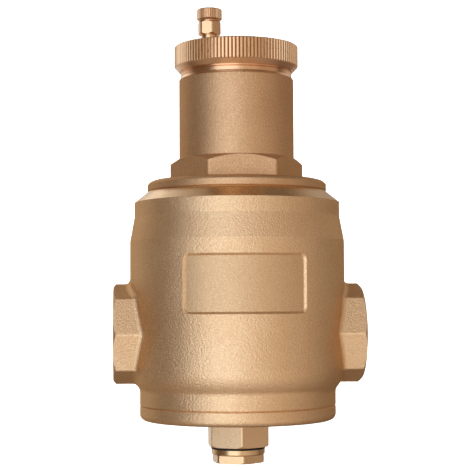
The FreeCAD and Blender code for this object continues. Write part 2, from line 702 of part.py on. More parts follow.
# ---- lever valve --------------------------------------------------------------------------------
def lever_bracket():
    """Bent sheet bracket under the top cover, with two ears for the lever's pin."""
    plate_top = TOP_COVER_Z - TOP_COVER_PLATE
    plate_low = plate_top - BRACKET_SHEET
    ear_low = LEVER_Z - BRACKET_EAR_HALF_X
    left_x = PIVOT_X - BRACKET_EAR_HALF_X
    plate = block(left_x, BRACKET_RIGHT_X, -BRACKET_PLATE_HALF_Y, BRACKET_PLATE_HALF_Y,
                  plate_low, plate_top)
    plate = plate.common(rod(BRACKET_ROUND_R, plate_low, plate_top))
    plate = plate.cut(rod(NOZZLE_THREAD_R + 0.3, plate_low, plate_top, NOZZLE_X))
    for sign in (-1, 1):
        y = sign * BRACKET_SCREW_Y
        plate = plate.cut(rod(SCREW_R + 0.1, plate_low, plate_top, BRACKET_SCREW_X, y))
    ears = []
    for sign in (-1, 1):
        near, far = sorted((sign * BRACKET_GAP_HALF, sign * (BRACKET_GAP_HALF + BRACKET_SHEET)))
        ears.append(block(left_x, PIVOT_X + BRACKET_EAR_HALF_X, near, far, ear_low, plate_low))
    solid = plate.fuse(ears)
    return solid.cut(rod_y(PIN_R, BRACKET_PLATE_HALF_Y, PIVOT_X, LEVER_Z)).removeSplitter()


def bracket_screws():
    """Two pan-head screws, as separate solids."""
    head_top = TOP_COVER_Z - TOP_COVER_PLATE - BRACKET_SHEET
    screws = []
    for sign in (-1, 1):
        y = sign * BRACKET_SCREW_Y
        head = rod(SCREW_HEAD_R, head_top - SCREW_HEAD, head_top, BRACKET_SCREW_X, y)
        shank = rod(SCREW_R, head_top, head_top + BRACKET_SHEET + SCREW_DEPTH, BRACKET_SCREW_X, y)
        slot = block(BRACKET_SCREW_X - SCREW_HEAD_R, BRACKET_SCREW_X + SCREW_HEAD_R, y - 0.3, y + 0.3,
                     head_top - SCREW_HEAD, head_top - SCREW_HEAD / 2)
        screws.append(head.fuse(shank).cut(slot))
    return Part.makeCompound(screws)


def lever_pin():
    """Pivot pin of the float lever."""
    return rod_y(PIN_R, BRACKET_GAP_HALF + BRACKET_SHEET + 1.2, PIVOT_X, LEVER_Z)


def lever_pin_clips():
    """Two retaining clips on the ends of the pin."""
    clips = []
    for sign in (-1, 1):
        start = sign * (BRACKET_GAP_HALF + BRACKET_SHEET)
        low = min(start, start + sign * CLIP_THICKNESS)
        ring = Part.makeCylinder(EYE_R, CLIP_THICKNESS, V(PIVOT_X, low, LEVER_Z), Y_AXIS)
        clips.append(ring.cut(rod_y(PIN_R, BRACKET_PLATE_HALF_Y, PIVOT_X, LEVER_Z)))
    return Part.makeCompound(clips)


def float_lever():
    """Flat lever with a rolled eye on the pin and slots for the valve holder and the stem."""
    half = LEVER_THICKNESS / 2
    low = LEVER_Z - half
    high = LEVER_Z + half
    bar = block(PIVOT_X, LEVER_TIP_X, -LEVER_HALF_WIDTH, LEVER_HALF_WIDTH, low, high)
    eye = rod_y(EYE_R, LEVER_HALF_WIDTH, PIVOT_X, LEVER_Z)
    solid = bar.fuse(eye).cut(rod_y(PIN_R + RUNNING_CLEARANCE, LEVER_HALF_WIDTH, PIVOT_X, LEVER_Z))
    for x, reach in ((NOZZLE_X, HOLDER_SLOT_REACH), (0.0, STEM_SLOT_REACH)):
        slot = block(x - reach, x + reach, -LEVER_SLOT_HALF, LEVER_SLOT_HALF, low, high)
        for end in (x - reach, x + reach):
            slot = slot.fuse(rod(LEVER_SLOT_HALF, low, high, end))
        solid = solid.cut(slot)
    return solid.removeSplitter()


def valve_holder():
    """Waisted holder that the lever lifts, with a socket for the valve pad on top."""
    half = LEVER_THICKNESS / 2
    top = NOZZLE_SEAT_Z - 0.4
    waist_low = LEVER_Z - half - HOLDER_GAP
    waist_high = LEVER_Z + half + HOLDER_GAP
    return placed(turned(
        (0, waist_low - 1.2),
        (HOLDER_R, waist_low - 1.2),
        (HOLDER_R, waist_low),
        (HOLDER_WAIST_R, waist_low),
        (HOLDER_WAIST_R, waist_high),
        (HOLDER_R + 0.3, waist_high),
        (HOLDER_R + 0.3, top),
        (PAD_R, top),
        (PAD_R, NOZZLE_SEAT_Z - PAD_THICKNESS),
        (0, NOZZLE_SEAT_Z - PAD_THICKNESS),
    ), NOZZLE_X)


def valve_pad():
    """Rubber pad that shuts the nozzle's seat."""
    return rod(PAD_R, NOZZLE_SEAT_Z - PAD_THICKNESS, NOZZLE_SEAT_Z, NOZZLE_X)


# ---- float --------------------------------------------------------------------------------------
def vent_float():
    """Round float with rounded edges and a bore for its stem."""
    edge = FLOAT_EDGE_R
    corner = edge * (1 - math.sqrt(0.5))
    return turned(
        (STEM_R, FLOAT_BOTTOM_Z),
        (FLOAT_R - edge, FLOAT_BOTTOM_Z),
        ((FLOAT_R - corner, FLOAT_BOTTOM_Z + corner), (FLOAT_R, FLOAT_BOTTOM_Z + edge)),
        (FLOAT_R, FLOAT_TOP_Z - edge),
        ((FLOAT_R - corner, FLOAT_TOP_Z - corner), (FLOAT_R - edge, FLOAT_TOP_Z)),
        (STEM_R, FLOAT_TOP_Z),
    )


def float_stem():
    """Straight stem through the float, the guide and the lever."""
    return rod(STEM_R, STEM_BOTTOM_Z, STEM_TOP_Z)


def float_stem_clips():
    """Four clips: two beside the float and two beside the lever."""
    half = LEVER_THICKNESS / 2
    lows = [
        FLOAT_BOTTOM_Z - CLIP_THICKNESS,
        FLOAT_TOP_Z,
        LEVER_Z - half - LEVER_CLIP_GAP - CLIP_THICKNESS,
        LEVER_Z + half + LEVER_CLIP_GAP,
    ]
    return Part.makeCompound([tube(STEM_R, CLIP_R, low, low + CLIP_THICKNESS) for low in lows])


# ---- separation cage ----------------------------------------------------------------------------
def cage_spokes(z_low, z_high, lug):
    """Three full-width bars across the cage with a hub in the middle."""
    bars = []
    reach = CAGE_R - 1
    for i in range(CAGE_RIBS // 2):
        bar = block(-reach, reach, -CAGE_SPOKE_HALF_WIDTH, CAGE_SPOKE_HALF_WIDTH, z_low, z_high)
        bar.rotate(ORIGIN, Z_AXIS, i * TURN / CAGE_RIBS)
        bars.append(bar)
    return bars + [rod(lug, z_low, z_high)]


def cage_ring(z_low):
    """Outer ring with spokes, which holds the ends of the mesh sleeves."""
    z_high = z_low + CAGE_RING
    solid = tube(CAGE_RIB_INNER_R - 3, CAGE_R, z_low, z_high)
    return solid.fuse(cage_spokes(z_low, z_high, CAGE_HUB_R)).removeSplitter()


def cage_bottom_ring():
    """Lower ring, open in the middle for the drain."""
    return cage_ring(COVER_FLOOR_Z).cut(rod(CAGE_LUG_R, COVER_FLOOR_Z, COVER_FLOOR_Z + CAGE_RING))


def cage_top_ring():
    """Upper ring, open in the middle for rising air."""
    low = CAGE_TOP_Z - CAGE_RING
    return cage_ring(low).cut(rod(CAGE_LUG_R, low, CAGE_TOP_Z))


def cage_ribs():
    """Upright ribs between the two rings, as separate solids."""
    low = COVER_FLOOR_Z + CAGE_RING
    high = CAGE_TOP_Z - CAGE_RING
    ribs = []
    for i in range(CAGE_RIBS):
        rib = block(CAGE_RIB_INNER_R, CAGE_R - 0.2, -CAGE_RIB_HALF_WIDTH, CAGE_RIB_HALF_WIDTH,
                    low, high)
        rib.rotate(ORIGIN, Z_AXIS, (i + 0.5) * TURN / CAGE_RIBS)
        ribs.append(rib)
    return Part.makeCompound(ribs)


def mesh_sleeve(inner_r):
    """Round sleeve of wire mesh, as a thin tube."""
    return tube(inner_r, inner_r + MESH_THICKNESS, COVER_FLOOR_Z + CAGE_RING, CAGE_TOP_Z - CAGE_RING)


# ---- build --------------------------------------------------------------------------------------
SUB_PARTS = [
    separator_body, vent_chamber_oring, bottom_cover, bottom_cover_oring, drain_plug, drain_plug_seal,
    vent_chamber, top_cover_oring, float_guide, guide_retaining_ring, top_cover, nozzle_oring,
    vent_nozzle, vent_cap, vent_cap_seal, lever_bracket, bracket_screws, lever_pin, lever_pin_clips,
    float_lever, valve_holder, valve_pad, vent_float, float_stem, float_stem_clips,
    cage_bottom_ring, cage_top_ring, cage_ribs,
]


def main():
    """Write every sub-part to its own STEP file."""
    os.makedirs("parts", exist_ok=True)
    shapes = {make.__name__: make() for make in SUB_PARTS}
    for name, inner_r in MESH_RADII.items():
        shapes[name] = mesh_sleeve(inner_r)
    for name, shape in shapes.items():
        if not shape.isValid():
            raise RuntimeError(name + " is not a valid shape")
        shape.exportStep(os.path.join("parts", name + ".step"))
        print(name, len(shape.Solids), round(shape.Volume, 1))


main()
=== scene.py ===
"""Looks of an in-line brass air separator with an automatic float vent.

The CAD nodes keep their shape.  This script gives them their metals, rubber and plastics, adds
thread ridges inside the ports, weaves the wire mesh sleeves, and sets the studio around them.
"""
import json
import math

import bmesh
import bpy
from mathutils import Matrix, Vector

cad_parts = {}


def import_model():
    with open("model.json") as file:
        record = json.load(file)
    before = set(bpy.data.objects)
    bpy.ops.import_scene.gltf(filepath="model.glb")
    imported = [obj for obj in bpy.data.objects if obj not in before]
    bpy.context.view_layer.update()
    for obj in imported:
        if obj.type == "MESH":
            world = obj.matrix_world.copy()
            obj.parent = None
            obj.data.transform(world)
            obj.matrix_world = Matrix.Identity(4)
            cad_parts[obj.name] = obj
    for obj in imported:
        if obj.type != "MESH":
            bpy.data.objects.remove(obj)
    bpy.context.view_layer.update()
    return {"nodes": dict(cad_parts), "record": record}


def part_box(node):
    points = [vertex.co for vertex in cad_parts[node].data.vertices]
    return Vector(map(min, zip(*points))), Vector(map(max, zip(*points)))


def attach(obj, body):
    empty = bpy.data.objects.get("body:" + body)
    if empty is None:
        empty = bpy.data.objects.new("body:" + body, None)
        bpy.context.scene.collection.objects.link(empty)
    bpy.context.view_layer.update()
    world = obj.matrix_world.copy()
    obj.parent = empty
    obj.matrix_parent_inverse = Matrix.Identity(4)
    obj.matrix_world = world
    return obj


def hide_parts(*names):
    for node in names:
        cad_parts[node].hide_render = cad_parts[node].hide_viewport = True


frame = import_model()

MM = 0.001

# ---- places taken from the frame ------------------------------------------------------------
mounts = {mount["name"]: mount for mount in frame["record"]["mounts"]}
PORT_Z = mounts["outlet_port"]["pos_m"][2]
THREAD_R = mounts["outlet_port"]["dims"]["r_mm"] * MM
BODY_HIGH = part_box("separator_body")[1]
PORT_FACE_X = BODY_HIGH.x
CHAMBER_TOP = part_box("vent_chamber")[1].z
COVER_LOW, COVER_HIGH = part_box("top_cover")
BOSS_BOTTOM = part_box("bottom_cover")[0].z
PLUG_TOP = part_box("drain_plug")[1].z
CAP_LOW, CAP_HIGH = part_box("vent_cap")
NOZZLE_X = (CAP_LOW.x + CAP_HIGH.x) / 2
PORT_CENTRE = (0.0, 0.0, PORT_Z)
NOZZLE_CENTRE = (NOZZLE_X, 0.0, 0.0)

# ---- sizes that tell one surface of a node from the next --------------------------------------
TURNED_BAND_HEIGHT = 5.2 * MM       # chamfer and top face of the body
TURNED_BAND_INNER_R = 31 * MM
PANEL_LOW = PORT_Z + 8.9 * MM
PANEL_HIGH = PORT_Z + 34.3 * MM
PANEL_DEPTH = 1.0 * MM
PANEL_DEPTH_RANGE = 0.3 * MM
PORT_MOUTH_R = THREAD_R + 1.2 * MM
PORT_INNER_X = 30 * MM
NECK_HEIGHT = 10.9 * MM
BOSS_HEIGHT = 11.8 * MM
BOSS_OUTER_R = 16 * MM
COVER_SKIRT_HEIGHT = 1.8 * MM
COVER_UNDERSIDE_HEIGHT = 6 * MM
COVER_TOOTH_DEPTH = 0.55 * MM
CAP_TOOTH_DEPTH = 0.28 * MM
SPIGOT_THREAD_HEIGHT = 7.6 * MM
SPIGOT_HOLLOW_R = 9.4 * MM          # just inside the spigot's threaded skin
SPIGOT_PITCH = 1.814 * MM
NOZZLE_PITCH = 1.0 * MM
NOZZLE_BORE_R = 2 * MM


# ---- node helpers -----------------------------------------------------------------------------
class Shader:
    """A new material with its nodes, and short ways to add and join them."""

    def __init__(self, name):
        self.material = bpy.data.materials.new(name)
        self.material.use_nodes = True
        self.tree = self.material.node_tree
        self.surface = self.tree.nodes["Principled BSDF"]
        self.where = self.add("ShaderNodeTexCoord").outputs["Object"]

    def add(self, kind, **settings):
        node = self.tree.nodes.new(kind)
        for key, value in settings.items():
            setattr(node, key, value)
        return node

    def join(self, source, target):
        if isinstance(source, (int, float, tuple)):
            target.default_value = source
        else:
            self.tree.links.new(source, target)

    def math(self, operation, first, second=0.0):
        node = self.add("ShaderNodeMath", operation=operation)
        self.join(first, node.inputs[0])
        self.join(second, node.inputs[1])
        return node.outputs[0]

    def noise(self, scale, detail=3.0, roughness=0.5, vector=None, stretch=None):
        node = self.add("ShaderNodeTexNoise")
        node.inputs["Scale"].default_value = scale
        node.inputs["Detail"].default_value = detail
        node.inputs["Roughness"].default_value = roughness
        source = vector or self.where
        if stretch:
            mapping = self.add("ShaderNodeMapping")
            mapping.inputs["Scale"].default_value = stretch
            self.join(source, mapping.inputs["Vector"])
            source = mapping.outputs["Vector"]
        self.join(source, node.inputs["Vector"])
        return node.outputs["Fac"]

    def remap(self, value, low, high, to_low=0.0, to_high=1.0):
        node = self.add("ShaderNodeMapRange")
        for key, amount in (("From Min", low), ("From Max", high), ("To Min", to_low), ("To Max", to_high)):
            node.inputs[key].default_value = amount
        self.join(value, node.inputs["Value"])
        return node.outputs["Result"]

    def mix(self, share, first, second):
        node = self.add("ShaderNodeMix", data_type="RGBA")
        self.join(share, node.inputs["Factor"])
        self.join(first, node.inputs["A"])
        self.join(second, node.inputs["B"])
        return node.outputs["Result"]

    def bump(self, height, distance, strength=1.0, normal=None):
        node = self.add("ShaderNodeBump")
        node.inputs["Distance"].default_value = distance
        node.inputs["Strength"].default_value = strength
        self.join(height, node.inputs["Height"])
        if normal:
            self.join(normal, node.inputs["Normal"])
        return node.outputs["Normal"]

    def soft_edges(self, radius):
        node = self.add("ShaderNodeBevel", samples=4)
        node.inputs["Radius"].default_value = radius
        return node.outputs["Normal"]

    def radius_from_axis(self, axis, centre):
        """Distance from a line along X or Z through a centre."""
        parts = self.add("ShaderNodeSeparateXYZ")
        self.join(self.where, parts.inputs[0])
        across = [name for name in "XYZ" if name != axis]
        squares = []
        for name in across:
            offset = self.math("SUBTRACT", parts.outputs[name], centre["XYZ".index(name)])
            squares.append(self.math("MULTIPLY", offset, offset))
        return self.math("SQRT", self.math("ADD", *squares)), parts.outputs[axis]

    def finish(self, color=None, roughness=None, normal=None, metallic=None, **settings):
        for value, name in ((color, "Base Color"), (roughness, "Roughness"), (normal, "Normal"),
                            (metallic, "Metallic")):
            if value is not None:
                self.join(value, self.surface.inputs[name])
        for name, value in settings.items():
            self.surface.inputs[name.replace("_", " ").title().replace("Ior", "IOR")].default_value = value
        return self.material


# ---- materials ----------------------------------------------------------------------------------
EDGE_TINT = (0.55, 0.38, 0.24, 1)    # a cast skin stays dull at grazing angles


def cast_brass(name, light, dark, roughness=(0.4, 0.58), relief=0.8):
    """Sand-cast and blasted brass: fine pitted grain, painted glints as bright specks, and slow stains."""
    s = Shader(name)
    skewed = s.add("ShaderNodeMapping")
    skewed.inputs["Rotation"].default_value = (0.5, 0.8, 0.3)
    s.join(s.where, skewed.inputs["Vector"])
    skewed = skewed.outputs["Vector"]
    grain = s.noise(1700, 3, 0.6, skewed)
    specks = s.noise(2600, 1, 0.5, skewed)
    stains = s.noise(34, 3, 0.55, skewed)
    pebbles = s.add("ShaderNodeTexVoronoi", feature="SMOOTH_F1")
    pebbles.inputs["Scale"].default_value = 1250
    pebbles.inputs["Smoothness"].default_value = 0.4
    s.join(skewed, pebbles.inputs["Vector"])
    tone = s.math("ADD", s.math("MULTIPLY", s.remap(grain, 0.35, 0.65), 0.5),
                  s.math("MULTIPLY", s.remap(stains, 0.35, 0.68), 0.5))
    base = s.mix(tone, dark, light)
    pits = tuple(c * 0.72 for c in dark[:3]) + (1,)
    mottle = s.mix(s.remap(specks, 0.42, 0.28, 0.0, 0.6), base, pits)
    # painted glints: specks of lighter base colour stand in for sparkle highlights; the lower roughness
    # there is real
    bright = tuple(min(1.0, c * 1.08 + 0.05) for c in light[:3]) + (1,)
    color = s.mix(s.remap(specks, 0.6, 0.7, 0.0, 0.9), mottle, bright)
    rough = s.remap(grain, 0.3, 0.7, *roughness)
    rough = s.math("SUBTRACT", rough, s.remap(specks, 0.58, 0.72, 0.0, 0.16))
    coarse = s.bump(pebbles.outputs["Distance"], -0.00016 * relief, 0.8, s.soft_edges(0.00045))
    fine = s.bump(grain, 0.00022 * relief, 0.9, coarse)
    return s.finish(color, rough, fine, 1.0, Specular_Tint=EDGE_TINT)


def turned_brass(name, color, dark, axis="Z", centre=(0.0, 0.0, 0.0), roughness=(0.16, 0.3), edge=0.00022):
    """Lathe-turned brass: rings around an axis, faint stains and finger-worn roughness."""
    s = Shader(name)
    radius, along = s.radius_from_axis(axis, centre)
    combine = s.add("ShaderNodeCombineXYZ")
    s.join(radius, combine.inputs[0])
    s.join(along, combine.inputs[1])
    fine = s.noise(9000, 2, 0.6, combine.outputs[0])
    broad = s.noise(1400, 2, 0.5, combine.outputs[0])
    stains = s.noise(90, 4, 0.6)
    tone = s.math("ADD", s.math("MULTIPLY", s.remap(stains, 0.35, 0.7), 0.7), s.math("MULTIPLY", fine, 0.3))
    base = s.mix(tone, dark, color)
    rough = s.remap(stains, 0.3, 0.7, *roughness)
    rough = s.math("ADD", rough, s.math("MULTIPLY", fine, 0.08))
    normal = s.bump(broad, 0.00004, 0.5, s.soft_edges(edge))
    normal = s.bump(fine, 0.00002, 0.6, normal)
    return s.finish(base, rough, normal, 1.0)


def knurled_brass(name, color, dark, centre, crest_r, depth):
    """Machined knurled brass with painted shade darkening the grooves between the worn crests."""
    s = Shader(name)
    radius, along = s.radius_from_axis("Z", centre)
    # painted shade: the colour darkens towards the groove bottoms, where shade falls between the ridges
    groove_shade = s.remap(radius, crest_r - 0.25 * depth, crest_r - 0.8 * depth, 0.0, 0.75)
    knurled = s.math("GREATER_THAN", radius, crest_r - 1.1 * depth)
    grime = s.noise(700, 3, 0.6)
    stains = s.noise(60, 3, 0.5)
    scratches = s.noise(2600, 2, 0.6, stretch=(1.0, 1.0, 0.12))
    tone = s.math("ADD", s.math("MULTIPLY", s.remap(grime, 0.35, 0.65), 0.4),
                  s.math("MULTIPLY", s.remap(stains, 0.35, 0.65), 0.6))
    base = s.mix(tone, dark, color)
    base = s.mix(s.math("MULTIPLY", groove_shade, knurled), base, tuple(c * 0.3 for c in dark[:3]) + (1,))
    rough = s.remap(grime, 0.3, 0.7, 0.24, 0.4)
    normal = s.bump(scratches, 0.00001, 0.5, s.soft_edges(0.00008))
    return s.finish(base, rough, normal, 1.0)


def threaded_brass(name, color, dark, centre, pitch, depth):
    """Turned brass with a right-hand thread cut around a vertical axis, and painted shade in the thread
    roots.
    """
    s = Shader(name)
    parts = s.add("ShaderNodeSeparateXYZ")
    s.join(s.where, parts.inputs[0])
    across = s.math("SUBTRACT", parts.outputs["Y"], centre[1])
    along = s.math("SUBTRACT", parts.outputs["X"], centre[0])
    angle = s.math("DIVIDE", s.math("ARCTAN2", across, along), math.tau)
    turns = s.math("SUBTRACT", s.math("DIVIDE", parts.outputs["Z"], pitch), angle)
    ridge = s.math("PINGPONG", turns, 0.5)
    stains = s.noise(300, 3, 0.6)
    base = s.mix(s.remap(stains, 0.35, 0.65), dark, color)
    # painted shade: the base colour darkens towards the thread roots
    base = s.mix(s.remap(ridge, 0.0, 0.22, 0.7, 0.0), base, tuple(c * 0.3 for c in dark[:3]) + (1,))
    rough = s.remap(stains, 0.3, 0.7, 0.2, 0.36)
    normal = s.bump(ridge, 2 * depth, 0.8, s.soft_edges(0.0001))
    return s.finish(base, rough, normal, 1.0)


def rubber(name):
    """Black moulded rubber with a dusty bloom."""
    s = Shader(name)
    bloom = s.noise(420, 4, 0.65)
    pores = s.noise(5200, 2, 0.5)
    base = s.mix(s.remap(bloom, 0.4, 0.75), (0.006, 0.005, 0.005, 1), (0.02, 0.017, 0.015, 1))
    rough = s.remap(bloom, 0.3, 0.7, 0.5, 0.72)
    return s.finish(base, rough, s.bump(pores, 0.00004, 0.6), Specular_Ior_Level=0.2)


def steel(name, color=(0.62, 0.61, 0.59, 1), roughness=(0.2, 0.38)):
    """Stainless steel with drawn scratches and slight tint changes."""
    s = Shader(name)
    drawn = s.noise(3200, 2, 0.6, stretch=(1.0, 1.0, 0.08))
    tint = s.noise(180, 3, 0.6)
    base = s.mix(s.remap(tint, 0.35, 0.7), tuple(c * 0.8 for c in color[:3]) + (1,), color)
    rough = s.remap(drawn, 0.3, 0.7, *roughness)
    return s.finish(base, rough, s.bump(drawn, 0.00002, 0.6, s.soft_edges(0.00008)), 1.0)


def plastic(name, light, dark, grain_scale=1800):
    """Moulded plastic with a fine spark-eroded grain."""
    s = Shader(name)
    grain = s.noise(grain_scale, 3, 0.6)
    flow = s.noise(60, 3, 0.5)
    base = s.mix(s.remap(flow, 0.35, 0.7), dark, light)
    rough = s.remap(grain, 0.3, 0.7, 0.38, 0.56)
    return s.finish(base, rough, s.bump(grain, 0.00004, 0.6, s.soft_edges(0.0002)))


CAST_LIGHT = (0.98, 0.72, 0.46, 1)
CAST_DARK = (0.87, 0.57, 0.33, 1)
PANEL_LIGHT = (0.86, 0.62, 0.38, 1)
PANEL_DARK = (0.80, 0.56, 0.33, 1)
CHAMBER_LIGHT = (0.84, 0.57, 0.34, 1)
CHAMBER_DARK = (0.70, 0.44, 0.25, 1)
TURNED_LIGHT = (0.88, 0.64, 0.39, 1)
TURNED_DARK = (0.76, 0.50, 0.28, 1)
MILLED_LIGHT = (0.96, 0.70, 0.45, 1)
MILLED_DARK = (0.86, 0.60, 0.36, 1)
KNURL_LIGHT = (0.95, 0.64, 0.40, 1)
KNURL_DARK = (0.84, 0.52, 0.30, 1)
ORANGE_LIGHT = (0.92, 0.59, 0.36, 1)
ORANGE_DARK = (0.82, 0.47, 0.26, 1)

materials = {
    "cast": cast_brass("cast_brass", CAST_LIGHT, CAST_DARK),
    "panel": cast_brass("cast_brass_panel", PANEL_LIGHT, PANEL_DARK, (0.5, 0.64), 0.4),
    "chamber": cast_brass("cast_brass_chamber", CHAMBER_LIGHT, CHAMBER_DARK, (0.5, 0.64), 0.45),
    "turned": turned_brass("turned_brass", TURNED_LIGHT, TURNED_DARK),
    "turned_port": turned_brass("turned_brass_port", TURNED_LIGHT, TURNED_DARK, "X", PORT_CENTRE),
    "neck": turned_brass("turned_brass_neck", ORANGE_LIGHT, ORANGE_DARK, roughness=(0.14, 0.26)),
    "boss": turned_brass("milled_brass", MILLED_LIGHT, MILLED_DARK, roughness=(0.2, 0.3)),
    "nozzle": turned_brass("turned_brass_nozzle", TURNED_LIGHT, ORANGE_DARK, "Z", NOZZLE_CENTRE,
                           (0.14, 0.26), 0.0001),
    "knurled": knurled_brass("knurled_brass", KNURL_LIGHT, KNURL_DARK, (0.0, 0.0, 0.0), COVER_HIGH.x,
                             COVER_TOOTH_DEPTH),
    "knurled_cap": knurled_brass("knurled_brass_cap", KNURL_LIGHT, KNURL_DARK, NOZZLE_CENTRE,
                                 CAP_HIGH.x - NOZZLE_X, CAP_TOOTH_DEPTH),
    "plug_thread": threaded_brass("plug_thread_brass", TURNED_LIGHT, TURNED_DARK, (0.0, 0.0),
                                  SPIGOT_PITCH, 0.6 * MM),
    "nozzle_thread": threaded_brass("nozzle_thread_brass", TURNED_LIGHT, ORANGE_DARK, NOZZLE_CENTRE,
                                    NOZZLE_PITCH, 0.3 * MM),
    "rubber": rubber("seal_rubber"),
    "steel": steel("stainless_steel"),
    "wire": steel("mesh_wire", (0.56, 0.55, 0.53, 1), (0.24, 0.4)),
    "float": plastic("float_plastic", (0.78, 0.77, 0.72, 1), (0.66, 0.65, 0.6, 1)),
    "cage": plastic("cage_plastic", (0.05, 0.05, 0.052, 1), (0.02, 0.02, 0.022, 1), 2600),
}


def axis_radius(point):
    """Distance of a point from the vertical axis."""
    return math.hypot(point.x, point.y)


def port_radius(point):
    """Distance of a point from the pipe axis."""
    return math.hypot(point.y, point.z - PORT_Z)


def dress(node, names, rule=None):
    """Give a CAD node its materials; the rule picks one for each face by its middle and normal."""
    mesh = frame["nodes"][node].data
    mesh.materials.clear()
    for name in names:
        mesh.materials.append(materials[name])
    for polygon in mesh.polygons:
        polygon.material_index = rule(polygon.center, polygon.normal) if rule else 0


def body_rule(middle, normal):
    """Cast skin, a smoother panel floor, a turned band at the top, and turned port faces and bores."""
    from_axis = axis_radius(middle)
    in_band = middle.z > BODY_HIGH.z - TURNED_BAND_HEIGHT and from_axis > TURNED_BAND_INNER_R
    if in_band and normal.z > 0.3 or middle.z > BODY_HIGH.z - 0.1 * MM:
        return 1
    depth = BODY_HIGH.y - from_axis
    at_panel = PANEL_LOW < middle.z < PANEL_HIGH and middle.y < 0
    if at_panel and abs(depth - PANEL_DEPTH) < PANEL_DEPTH_RANGE:
        return 3
    port_face = abs(normal.x) > 0.97 and abs(middle.x) > PORT_FACE_X - 0.2 * MM
    bore = port_radius(middle) < PORT_MOUTH_R and abs(middle.x) > PORT_INNER_X
    return 2 if port_face or bore else 0


def chamber_rule(middle, normal):
    """Cast skin with a turned neck above the shoulder."""
    return 1 if middle.z > CHAMBER_TOP - NECK_HEIGHT else 0


def bottom_rule(middle, normal):
    """Cast skin with a milled drain boss."""
    return 1 if middle.z < BOSS_BOTTOM + BOSS_HEIGHT and axis_radius(middle) < BOSS_OUTER_R else 0


def cover_rule(middle, normal):
    """Knurled rim and turned lid, with a bright turned underside and skirt."""
    underside = middle.z < COVER_LOW.z + COVER_UNDERSIDE_HEIGHT and normal.z < -0.3
    return 1 if underside or middle.z < COVER_LOW.z + COVER_SKIRT_HEIGHT else 0


def plug_rule(middle, normal):
    """Turned head and collar, threaded spigot."""
    spigot = middle.z > PLUG_TOP - SPIGOT_THREAD_HEIGHT and axis_radius(middle) > SPIGOT_HOLLOW_R
    return 1 if spigot and abs(normal.z) < 0.5 else 0


def nozzle_rule(middle, normal):
    """Turned and milled stem with a threaded spigot above the hexagon."""
    from_axis = math.hypot(middle.x - NOZZLE_X, middle.y)
    return 1 if middle.z > CAP_LOW.z and from_axis > NOZZLE_BORE_R and abs(normal.z) < 0.5 else 0


dress("separator_body", ["cast", "turned", "turned_port", "panel"], body_rule)
dress("vent_chamber", ["chamber", "neck"], chamber_rule)
dress("bottom_cover", ["cast", "boss"], bottom_rule)
dress("top_cover", ["knurled", "neck"], cover_rule)
dress("vent_cap", ["knurled_cap"])
dress("drain_plug", ["turned", "plug_thread"], plug_rule)
dress("vent_nozzle", ["nozzle", "nozzle_thread"], nozzle_rule)
dress("float_guide", ["turned"])
dress("valve_holder", ["nozzle"])
for name in ("vent_chamber_oring", "bottom_cover_oring", "top_cover_oring", "nozzle_oring",
             "drain_plug_seal", "vent_cap_seal", "valve_pad"):
    dress(name, ["rubber"])
for name in ("guide_retaining_ring", "lever_bracket", "bracket_screws", "lever_pin",
             "lever_pin_clips", "float_lever", "float_stem", "float_stem_clips"):
    dress(name, ["steel"])
for name in ("cage_bottom_ring", "cage_top_ring", "cage_ribs"):
    dress(name, ["cage"])
dress("vent_float", ["float"])


# ---- pieces made here -----------------------------------------------------------------------------
def new_piece(name, bm, material, body, smooth=True):
    """Finish a mesh piece and let it ride on its body."""
    bmesh.ops.recalc_face_normals(bm, faces=bm.faces)
    mesh = bpy.data.meshes.new(name)
    bm.to_mesh(mesh)
    bm.free()
    for polygon in mesh.polygons:
        polygon.use_smooth = smooth
    mesh.materials.append(materials[material])
    piece = bpy.data.objects.new(name, mesh)
    bpy.context.scene.collection.objects.link(piece)
    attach(piece, body)
    return piece


def sweep(bm, rings, closed):
    """Skin a list of vertex rings; a closed sweep joins its ends, an open one gets end caps."""
    made = [[bm.verts.new(point) for point in ring] for ring in rings]
    count = len(made[0])
    last = len(made) if closed else len(made) - 1
    for i in range(last):
        here, ahead = made[i], made[(i + 1) % len(made)]
        for j in range(count):
            k = (j + 1) % count
            bm.faces.new((here[j], here[k], ahead[k], ahead[j]))
    if not closed:
        bm.faces.new(made[0][::-1])
        bm.faces.new(made[-1])


PIPE_PITCH = 2.309 * MM
THREAD_DEPTH = 1.35 * MM
THREAD_STEPS = 72
THREAD_START = 1.2 * MM       # in from the port's face
THREAD_LENGTH = 15.0 * MM


def port_thread(side, name):
    """Helical thread ridge inside a port, fading out at both ends."""
    bm = bmesh.new()
    turns = THREAD_LENGTH / PIPE_PITCH
    steps = int(turns * THREAD_STEPS)
    rings = []
    for i in range(steps + 1):
        angle = math.tau * i / THREAD_STEPS
        depth_in = THREAD_START + PIPE_PITCH * i / THREAD_STEPS
        fade = min(1.0, i / (THREAD_STEPS / 3), (steps - i) / (THREAD_STEPS / 3))
        crest = THREAD_R - THREAD_DEPTH * max(fade, 0.05)
        ring = []
        for radius, shift in ((THREAD_R, -0.46), (crest, -0.1), (crest, 0.1), (THREAD_R, 0.46)):
            x = side * (PORT_FACE_X - depth_in - shift * PIPE_PITCH)
            ring.append((x, radius * math.cos(angle) * side, PORT_Z + radius * math.sin(angle)))
        rings.append(ring)
    sweep(bm, rings, False)
    return new_piece(name, bm, "turned_port", "housing", smooth=False)


def wire_ring(bm, points, wire_r, closed):
    """Thin five-sided wire along points given as (position, outward direction)."""
    rings = []
    for i, (here, outward) in enumerate(points):
        ahead = points[(i + 1) % len(points)][0] if closed or i + 1 < len(points) else here
        behind = points[i - 1][0] if closed or i > 0 else here
        along = (ahead - behind).normalized()
        across = along.cross(outward).normalized()
        up = across.cross(along)
        ring = []
        for k in range(5):
            turn = math.tau * k / 5
            ring.append(here + (across * math.cos(turn) + up * math.sin(turn)) * wire_r)
        rings.append(ring)
    sweep(bm, rings, closed)


